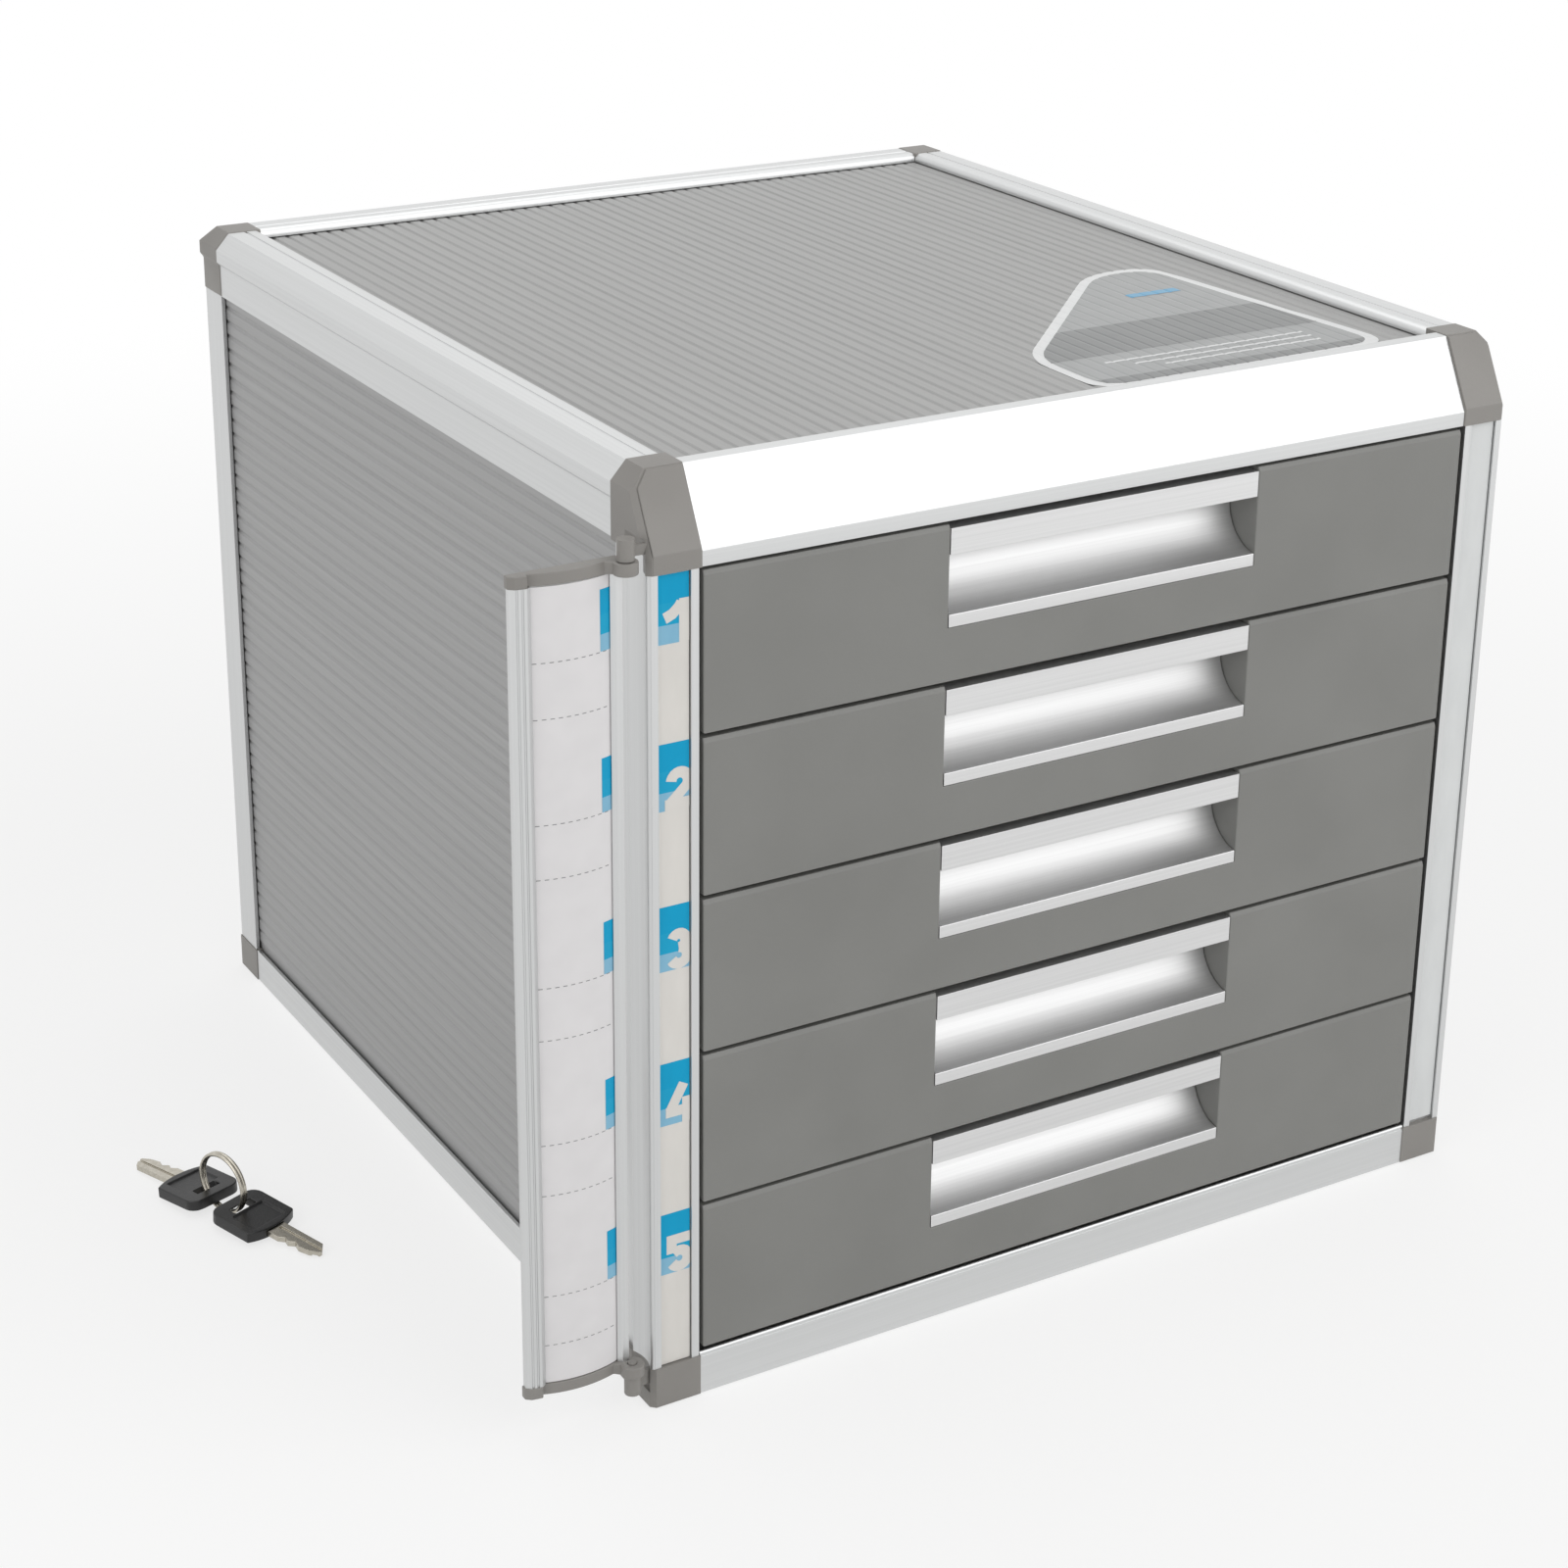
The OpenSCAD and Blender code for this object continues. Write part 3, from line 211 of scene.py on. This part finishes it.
rail_along_x = anodised_aluminium("anodised_rail_across", 0)
rail_along_y = anodised_aluminium("anodised_rail_deep", 1)
post_along_z = anodised_aluminium("anodised_post", 2)
for node, finish in (("top_front_rail", rail_along_x), ("top_left_rail", rail_along_y),
                     ("top_right_rail", rail_along_y), ("top_rear_rail", rail_along_x),
                     ("bottom_front_rail", rail_along_x), ("bottom_left_rail", rail_along_y),
                     ("bottom_right_rail", rail_along_y), ("bottom_rear_rail", rail_along_x)):
    finish_node(node, finish, 0.25)
for node in ("front_left_post", "front_right_post", "rear_left_post", "rear_right_post"):
    finish_node(node, post_along_z, 0.2)


# ---- Corner pieces ----
# Injection moulded ABS in a warm grey, with a fine spark-eroded grain from the mould. Their
# tongues are a press fit in the hollow rails and posts, and screws draw the lower ones tight.

def moulded_abs(name, colour, dark, grain_mm=0.45, relief=0.02, rough=0.46):
    """Matt moulded ABS: an even colour, a fine grain and a soft sheen"""
    made, tree = new_material(name)
    grain = noise(tree, (grain_mm,) * 3, 1.0)
    cloud = noise(tree, (38, 38, 38), 2.0)
    sheen = add(tree, "MapRange", {}, {
        "Value": cloud, "To Min": rough - 0.03, "To Max": rough + 0.05}).outputs[0]
    body = add(tree, "BsdfPrincipled", {}, {
        "Base Color": tinted(tree, colour, dark, cloud),
        "Roughness": sheen, "IOR": 1.53, "Normal": raised(tree, grain, relief)})
    add(tree, "OutputMaterial", inputs={"Surface": body.outputs[0]})
    return made


corner_abs = moulded_abs("corner_abs", "8E8B87", "878480")
for node in ("cap_front_left", "cap_front_right", "cap_rear_left", "cap_rear_right",
             "block_front_left", "block_front_right", "block_rear_left", "block_rear_right"):
    finish_node(node, corner_abs, 0.5, 3)

# Raised shell over the front of each front corner piece: lip, slope and the run up to the top.
# Its lip stays behind the index flap, whose arm passes 0.05 mm in front of it when it is shut
LIP_LOW, LIP_TOP, SLOPE_TOP = 259.1, 264.75, 285.35
LIP_FRONT, LIP_BACK = -165.45, -164.9
SLOPE_FRONT, SLOPE_BACK = -154.95, -154.3
SHELL_SIDE, SHELL_WIDTH = 149.5, 14.9
SLANT_LOW, SLANT_RISE, SLANT_RUN = 281.2, 5.4, 4.8
for side, name in ((-1, "corner_shell_left"), (1, "corner_shell_right")):
    shape = bmesh.new()
    section = [(LIP_BACK, LIP_LOW), (LIP_FRONT, LIP_LOW), (LIP_FRONT, LIP_TOP),
               (SLOPE_FRONT, SLOPE_TOP), (SLOPE_BACK, SLOPE_TOP), (LIP_BACK, LIP_TOP - 0.15)]
    ring = [shape.verts.new(Vector((side * SHELL_SIDE, y, z)) * MM) for y, z in section]
    grown = bmesh.ops.extrude_face_region(shape, geom=[shape.faces.new(ring)])
    bmesh.ops.translate(shape, vec=(-side * SHELL_WIDTH * MM, 0, 0),
                        verts=[v for v in grown["geom"] if isinstance(v, bmesh.types.BMVert)])
    # Its upper outer corner is cut off in line with the slanting edge of the side rail
    cut = bmesh.ops.bisect_plane(
        shape, geom=shape.verts[:] + shape.edges[:] + shape.faces[:], clear_outer=True,
        plane_co=Vector((side * SHELL_SIDE, 0, SLANT_LOW)) * MM,
        plane_no=(side * SLANT_RISE, 0, SLANT_RUN))
    bmesh.ops.edgeloop_fill(shape, edges=[
        e for e in cut["geom_cut"] if isinstance(e, bmesh.types.BMEdge)])
    bmesh.ops.recalc_face_normals(shape, faces=shape.faces[:])
    shell = bpy.data.meshes.new(name)
    shape.to_mesh(shell)
    shell.materials.append(corner_abs)
    shell.polygons.foreach_set("use_smooth", [True] * len(shell.polygons))
    piece = bpy.data.objects.new(name, shell)
    scene.collection.objects.link(piece)
    round_edges(piece, 0.45, 3)
    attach(piece, "cabinet")

zinc_steel, tree = new_material("zinc_plated_steel")
spangle = add(tree, "TexVoronoi", {}, {"Vector": object_place(tree, (4, 4, 4)), "Scale": 1.0})
patch = add(tree, "SeparateColor", {}, {"Color": spangle.outputs["Color"]}).outputs[0]
body = add(tree, "BsdfPrincipled", {}, {
    "Base Color": tinted(tree, "BFC2C5", "A9ADB2", patch), "Metallic": 1.0, "Roughness": 0.4})
add(tree, "OutputMaterial", inputs={"Surface": body.outputs[0]})
finish_node("base_screws", zinc_steel, 0.15)


# ---- Ribbed panels and bottom sheet ----
# Extruded polystyrene board with a low rib every few millimetres, lacquered silver grey. The
# boards slide into the grooves of the rails, and the zinc-plated base sheet lies on their ledges.

def lacquered_board(name, along, colour, dark):
    """Silver grey lacquer on ribbed board: a soft metallic sheen with a very fine flake"""
    made, tree = new_material(name)
    flake = noise(tree, (0.3, 0.3, 0.3), 1.0)
    lines = [1.1, 1.1, 1.1]
    lines[along] = 180
    streak = noise(tree, lines, 2.0)
    body = add(tree, "BsdfPrincipled", {}, {
        "Base Color": tinted(tree, colour, dark, streak),
        "Metallic": 0.25, "Roughness": 0.42, "Normal": raised(tree, flake, 0.006)})
    add(tree, "OutputMaterial", inputs={"Surface": body.outputs[0]})
    return made


# The top board's lacquer is a shade lighter than the side and rear boards': painted light, for the
# stronger light that falls on the top
finish_node("top_panel", lacquered_board("board_lacquer_top_painted_lighter", 1, "A9A9A8", "A2A2A1"),
            0.1)
side_lacquer = lacquered_board("board_lacquer_side", 1, "A6A6A6", "9F9F9F")
for node in ("left_panel", "right_panel"):
    finish_node(node, side_lacquer, 0.1)
finish_node("rear_panel", lacquered_board("board_lacquer_rear", 0, "A6A6A6", "9F9F9F"),
            0.1)
finish_node("bottom_panel", zinc_steel, 0.3)


# ---- Paper-thin label on the top panel ----
# A die-cut vinyl label near the front right corner, pressed down over the ribs: a white rim
# round a plain design of grey fields, pale lines and a blue bar.

RIB_PITCH = 5.1
RIB_GROOVE = -140.25
RIB_TOP = 282.1
DIP, DIP_HALF = 0.16, 0.8
COLUMN = 0.5
FILM = 0.03
LINE_STEP = 4.5


def rounded(corners, cut, steps=8):
    """The outline with a curve in place of each corner, begun cut mm before it"""
    points = []
    for k, corner in enumerate(corners):
        middle = Vector(corner)
        start, end = (middle + (Vector(corners[(k + side) % len(corners)]) - middle).normalized()
                      * cut for side in (-1, 1))
        for t in (n / steps for n in range(steps + 1)):
            points.append(start * (1 - t) ** 2 + middle * 2 * t * (1 - t) + end * t ** 2)
    return points


def film_on_ribs(name, outline, lift, finish,
                 low=-math.inf, high=math.inf, left=-math.inf, right=math.inf):
    """A film of a convex outline in mm, cut off at the limits, that dips where the grooves are"""
    first = max(left, min(p.x for p in outline) + 0.01)
    last = min(right, max(p.x for p in outline) - 0.01)
    columns = math.ceil((last - first) / COLUMN)
    corners, faces = [], []
    for k in range(columns + 1):
        x = first + (last - first) * k / columns
        cuts = []
        for a, b in zip(outline, outline[1:] + outline[:1]):
            if (a.x <= x) != (b.x <= x):
                cuts.append(a.y + (b.y - a.y) * (x - a.x) / (b.x - a.x))
        off_groove = abs((x - RIB_GROOVE + RIB_PITCH / 2) % RIB_PITCH - RIB_PITCH / 2)
        z = RIB_TOP + lift - DIP * max(0, 1 - off_groove / DIP_HALF)
        y0, y1 = max(low, min(cuts)), min(high, max(cuts))
        corners += [(x, y0, z), (x, max(y0, y1), z)]
        if k:
            faces.append((2 * k - 2, 2 * k, 2 * k + 1, 2 * k - 1))
    film = bpy.data.meshes.new(name)
    film.from_pydata([[c * MM for c in corner] for corner in corners], [], faces)
    film.materials.append(finish)
    piece = bpy.data.objects.new(name, film)
    scene.collection.objects.link(piece)
    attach(piece, "cabinet")


def vinyl(name, colour, dark):
    """Gloss-laminated vinyl film, a little uneven over the ribs"""
    made, tree = new_material(name)
    body = add(tree, "BsdfPrincipled", {}, {
        "Base Color": tinted(tree, colour, dark, noise(tree, (12, 12, 12), 2.0)),
        "Roughness": 0.3, "IOR": 1.48,
        "Normal": raised(tree, noise(tree, (6, 6, 6)), 0.02)})
    add(tree, "OutputMaterial", inputs={"Surface": body.outputs[0]})
    return made


vinyl_white = vinyl("vinyl_white", "ECEDED", "E6E7E7")
vinyl_grey = vinyl("vinyl_grey", "A3A5A5", "9C9E9E")
vinyl_dark = vinyl("vinyl_dark_grey", "7F8181", "797B7B")
vinyl_blue = vinyl("vinyl_blue", "5FA9D0", "58A2CA")
rim = rounded([(12, -143), (12, -104), (88, -28), (114, -28), (124, -142)], 12.5)
inner = rounded([(15.4, -139.8), (15.4, -105.6), (89.4, -31.4), (111, -31.4), (120.2, -138.8)],
                10.5)
film_on_ribs("label_rim", rim, 2 * FILM, vinyl_white)
film_on_ribs("label_field", inner, 3 * FILM, vinyl_grey)
film_on_ribs("label_band", inner, 4 * FILM, vinyl_dark, low=-112, high=-84)
film_on_ribs("label_foot", inner, 4 * FILM, vinyl_dark, high=-134)
for k in range(3):
    film_on_ribs(f"label_line_{k + 1}", inner, 4 * FILM, vinyl_white,
                 low=-120 - k * LINE_STEP, high=-118.8 - k * LINE_STEP, left=30 + 8 * k, right=106)
film_on_ribs("label_bar", inner, 5 * FILM, vinyl_blue, low=-60, high=-56, left=84, right=104)


# ---- Runner panels ----
# Moulded polypropylene walls with ledges for the trays and stops at the front. They stand
# between the bottom sheet and the top rails, against the inner faces of the posts.

runner_pp = moulded_abs("runner_polypropylene", "4E5052", "484A4C", 0.6, 0.015, 0.5)
for node in ("left_runner_panel", "right_runner_panel"):
    finish_node(node, runner_pp, 0.2)


# ---- Drawers ----
# Each drawer is a moulded tray with a separate ABS front, grained in the mould, and a brushed
# anodised handle extrusion let into the front's notch and held by its lips.

front_abs = moulded_abs("drawer_front_abs", "838380", "7E7E7B", 0.4, 0.018, 0.48)
tray_ps = moulded_abs("tray_polystyrene", "77797A", "717374", 0.5, 0.012, 0.42)
handle_metal = anodised_aluminium("anodised_handle", 0, "D9D9D9", "D2D2D2", 0.48)
for i in range(1, 6):
    finish_node(f"drawer_{i}_front", front_abs, 0.4, 3)
    finish_node(f"drawer_{i}_tray", tray_ps, 0.3)
    finish_node(f"drawer_{i}_handle", handle_metal, 0.2)


# ---- Number strip and plain strip ----
# Strips of rigid PVC slid into the recess of each front post. The left one is screen printed
# with a block of three blues for each drawer, in which the drawer's number is left unprinted.

PRINT_COLUMN = 1.3


def gloss_print(name, colour, dark, rough=0.34):
    """Solid screen ink on plastic or card, a little uneven where the squeegee passed"""
    made, tree = new_material(name)
    body = add(tree, "BsdfPrincipled", {}, {
        "Base Color": tinted(tree, colour, dark, noise(tree, (5, 5, 16), 3.0)),
        "Roughness": rough, "Specular IOR Level": 0.2,
        "Normal": raised(tree, noise(tree, (0.3, 0.3, 0.3)), 0.004)})
    add(tree, "OutputMaterial", inputs={"Surface": body.outputs[0]})
    return made


def printed(name, inks, patches, place, body):
    """A film of ink: patches (ink, x0, x1, z0, z1) in mm, put on the face that place() gives"""
    corners, faces, chosen = [], [], []
    for ink, x0, x1, z0, z1 in patches:
        columns = max(1, round((x1 - x0) / PRINT_COLUMN))
        for k in range(columns):
            a, b = (x0 + (x1 - x0) * t / columns for t in (k, k + 1))
            faces.append(range(len(corners), len(corners) + 4))
            corners += [place(x, z) for x, z in ((a, z0), (b, z0), (b, z1), (a, z1))]
            chosen.append(ink)
    film = bpy.data.meshes.new(name)
    film.from_pydata([[c * MM for c in corner] for corner in corners], [], faces)
    for ink in inks:
        film.materials.append(ink)
    film.polygons.foreach_set("material_index", chosen)
    piece = bpy.data.objects.new(name, film)
    scene.collection.objects.link(piece)
    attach(piece, body)
    return piece


strip_pvc = gloss_print("strip_pvc", "E3E0DB", "DEDBD6")
finish_node("number_strip", strip_pvc, 0.05)
finish_node("plain_strip", gloss_print("strip_pvc_white", "DFE1E1", "DADCDC"), 0.05)

blues = [gloss_print("ink_deep_blue", "00A4D2", "009FCD"),
         gloss_print("ink_blue", "18A8D2", "14A2CE"),
         gloss_print("ink_pale_blue", "8CC0DA", "85BAD6")]
BLUE_ENDS = (1, 0.59, 0.275, 0)
STRIP_X = (-147.6, -138.0)
STRIP_FACE, INK = -164.2, 0.03


def blue_block(x0, x1, z0, z1):
    """Patches of one block: the three blues from top to bottom"""
    heights = [z0 + (z1 - z0) * share for share in BLUE_ENDS]
    return [(k, x0, x1, heights[k + 1], heights[k]) for k in range(3)]


DRAWER_PITCH = 48.8
STRIP_BLOCK = (238.7, 258.6)
patches = []
for i in range(5):
    patches += blue_block(*STRIP_X, *[z - i * DRAWER_PITCH for z in STRIP_BLOCK])
printed("strip_blocks", blues, patches, lambda x, z: (x, STRIP_FACE - INK, z),
        "cabinet")

# Plain numbers 12.5 mm tall, drawn with a 3.3 mm pen and bled off the strip's right edge, as on
# a roll-printed strip that is slit to width. Each stroke lies a little over the one before
PEN = 3.3
STROKE_LIFT = 0.02
NUMBER_LEFT = STRIP_X[0] + 1.9


def bow(x, y, radius, start, end, steps=14):
    """Points of an arc, from start to end in degrees"""
    turns = [math.radians(start + (end - start) * k / steps) for k in range(steps + 1)]
    return [(x + radius * math.cos(a), y + radius * math.sin(a)) for a in turns]


def pen_line(shape, points, place):
    """Adds a line of the pen's width through the points to the shape"""
    line = [Vector(p) for p in points]
    ways = [(b - a).normalized() for a, b in zip(line, line[1:])]
    edges = []
    for k, point in enumerate(line):
        before, after = ways[max(k - 1, 0)], ways[min(k, len(ways) - 1)]
        way = (before + after).normalized()
        side = Vector((-way.y, way.x)) * PEN / 2 / max(0.5, way.dot(before))
        edges.append([shape.verts.new(place(point + s)) for s in (-side, side)])
    for (a, b), (c, d) in zip(edges, edges[1:]):
        shape.faces.new((a, c, d, b))


# The strokes of 1 to 5, as points in mm from the number's lower left corner
NUMBERS = (
    (((0.2, 7.4), (2.6, 8.4), (4.6, 10.2), (5.4, 11.4)), ((6.3, 0), (6.3, 12.5))),
    (bow(4.7, 8.2, 2.65, 175, -40) + [(1.4, 1.65)], ((0.1, 1.65), (9, 1.65))),
    (bow(4.3, 8.7, 2.15, 160, -90), bow(4.4, 4.2, 2.55, 90, -155)),
    (((5.8, 12.4), (1.4, 4.3)), ((0, 4.0), (9.5, 4.0)), ((6.9, 0), (6.9, 8))),
    (((8.5, 10.85), (1.75, 10.85), (1.75, 6.4)), bow(4.3, 4.3, 2.65, 135, -155)))
for i, strokes in enumerate(NUMBERS):
    shape = bmesh.new()
    for k, stroke in enumerate(strokes):
        pen_line(shape, stroke, lambda p: Vector((
            NUMBER_LEFT + p.x, STRIP_FACE - 2 * INK - k * STROKE_LIFT,
            STRIP_BLOCK[0] - i * DRAWER_PITCH + p.y)) * MM)
    bmesh.ops.bisect_plane(
        shape, geom=shape.verts[:] + shape.edges[:] + shape.faces[:],
        plane_co=(STRIP_X[1] * MM, 0, 0), plane_no=(1, 0, 0), clear_outer=True)
    film = bpy.data.meshes.new(f"number_{i + 1}")
    shape.to_mesh(film)
    film.materials.append(strip_pvc)
    piece = bpy.data.objects.new(f"number_{i + 1}", film)
    scene.collection.objects.link(piece)
    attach(piece, "cabinet")


# ---- Index flap ----
# A curved aluminium extrusion with a moulded arm pressed onto each end, which turn on pins
# beside the left post. A printed card is bent into the grooves of its face.

flap_metal = anodised_aluminium("anodised_flap", 2)
finish_node("label_flap", flap_metal, 0.15)
for node in ("flap_top_arm", "flap_bottom_arm"):
    finish_node(node, corner_abs, 0.3)
card_paper, tree = new_material("card_paper")
body = add(tree, "BsdfPrincipled", {}, {
    "Base Color": tinted(tree, "E6E4E5", "E2E0E1", noise(tree, (9, 9, 9))),
    "Roughness": 0.6, "Normal": raised(tree, noise(tree, (0.3, 0.3, 0.3)), 0.006)})
add(tree, "OutputMaterial", inputs={"Surface": body.outputs[0]})
finish_node("label_card", card_paper)

CARD_RADIUS = 35.39
CARD_MIDDLE = (-172.15, -127.81)
BLOCK_X = (-163.75, -159.9)
FIRST_BLOCK = (239.4, 257.0)
NEXT_BLOCK = (241.5, 257.4)
DASH_LEFT, DASH, DASH_STEP, DASH_HEIGHT = -183.6, 1.2, 2.3, 0.25
SECOND_LINE = 16.3


def on_card(x, z):
    """The point at x on the bent face of the card, a film's thickness proud of it"""
    reach = math.sqrt((CARD_RADIUS + INK) ** 2 - (x - CARD_MIDDLE[0]) ** 2)
    return x, CARD_MIDDLE[1] - reach, z


# Below each block's edge and again 16 mm lower, a dashed line to write on
line_grey = gloss_print("ink_grey", "969697", "8C8C8E", 0.5)
patches = []
for i in range(5):
    low, top = (z - i * DRAWER_PITCH for z in (NEXT_BLOCK if i else FIRST_BLOCK))
    patches += blue_block(*BLOCK_X, low, top)
    for z in (low - DASH_HEIGHT, low - SECOND_LINE):
        for k in range(10):
            x = DASH_LEFT + k * DASH_STEP
            patches.append((3, x, x + DASH, z, z + DASH_HEIGHT))
printed("card_print", blues + [line_grey], patches, on_card, "label_flap")


# ---- Side lock ----
# A die-cast, chrome-plated cylinder held in the right panel by a hexagon nut. Its plug turns a
# yellow-passivated cam, whose pin lifts a zinc-plated bar behind the runner panel.

def plated(name, colour, dark, rough):
    """Bright plating over a polished casting, with a trace of handling marks"""
    made, tree = new_material(name)
    marks = noise(tree, (1.6, 1.6, 0.5), 3.0)
    shine = add(tree, "MapRange", {}, {
        "Value": marks, "To Min": rough, "To Max": rough + 0.09}).outputs[0]
    body = add(tree, "BsdfPrincipled", {}, {
        "Base Color": tinted(tree, colour, dark, marks), "Metallic": 1.0, "Roughness": shine})
    add(tree, "OutputMaterial", inputs={"Surface": body.outputs[0]})
    return made


chrome = plated("chrome_plating", "D8DADC", "CFD1D4", 0.1)
brass = plated("passivated_brass", "C9A75A", "B8954B", 0.28)
for node in ("lock_housing", "lock_plug"):
    finish_node(node, chrome, 0.3, 3)
for node in ("lock_nut", "lock_cam"):
    finish_node(node, brass, 0.2)
for node in ("lock_bar", "lock_pin"):
    finish_node(node, zinc_steel, 0.15)


# ---- Keys ----
# Two keys cut from nickel-plated brass, each with a black head moulded over its bow. They hang
# on a split ring of plated spring wire and lie loose on the table.

nickel = plated("nickel_plating", "C4BFB4", "AFAA9E", 0.2)
head_abs = moulded_abs("key_head_abs", "141415", "111112", 0.4, 0.02, 0.36)
for k in (1, 2):
    finish_node(f"key_{k}_blade", nickel, 0.12)
    finish_node(f"key_{k}_head", head_abs, 0.4, 3)
finish_node("key_ring", nickel)
